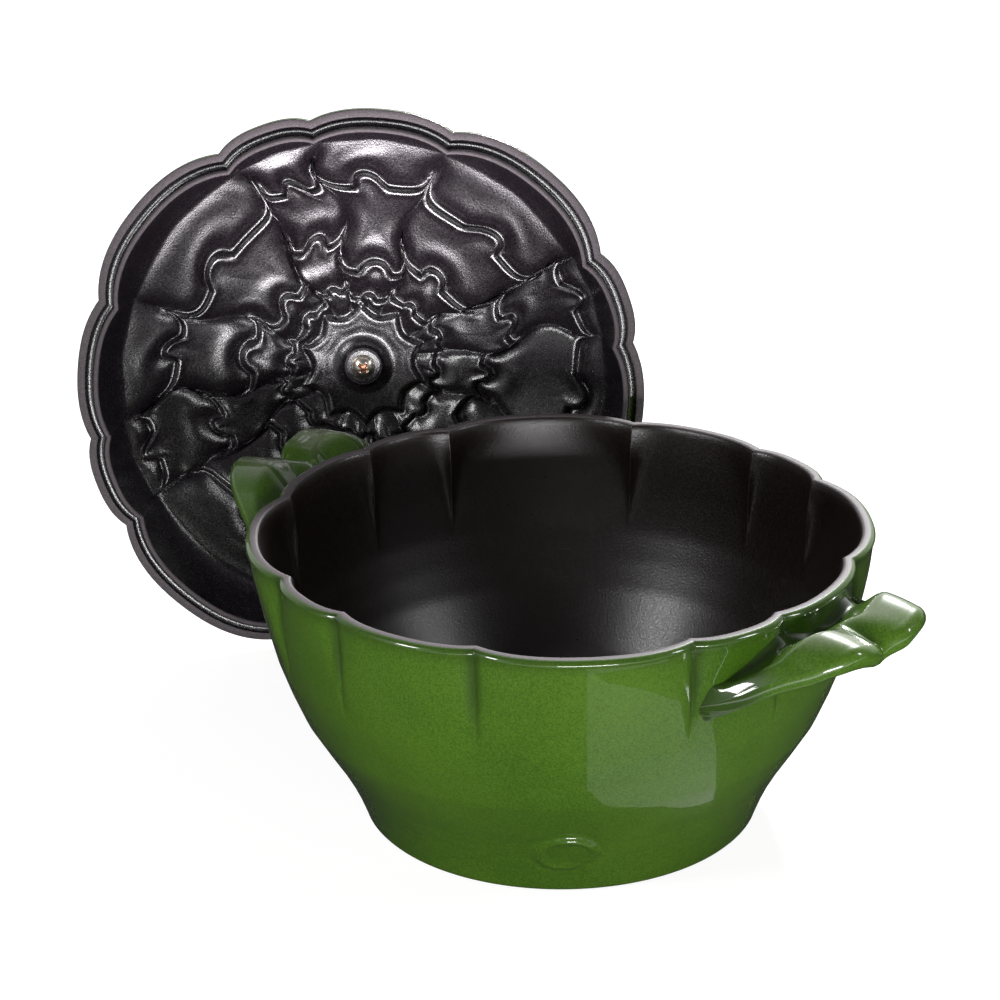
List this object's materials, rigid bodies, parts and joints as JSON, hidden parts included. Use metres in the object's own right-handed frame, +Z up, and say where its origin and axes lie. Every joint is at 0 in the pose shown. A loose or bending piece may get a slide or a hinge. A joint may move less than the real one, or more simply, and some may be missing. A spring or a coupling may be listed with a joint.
{
  "type": "cast iron casserole",
  "caption": "Round lobed casserole of enamelled cast iron with leaf-shaped side handles, its lid off and stood on edge behind it.",
  "frame": {"origin": "centre of the pot's flat foot, on the table", "axes": "+Z up; +X through the middle of a wide lobe of the rim; -Y to the side with the low leaf-tip relief"},
  "size_m": [0.3161, 0.3413, 0.2357],
  "materials": {
    "enamel": "glossy",
    "lid_enamel": "satin",
    "knob_metal": "satin",
    "screw_metal": "satin"
  },
  "bodies": {
    "root": {"pot": "enamel", "lid": "lid_enamel", "knob": "knob_metal", "knob_screw": "screw_metal", "knob_washer": "screw_metal"}
  },
  "joints": []
}
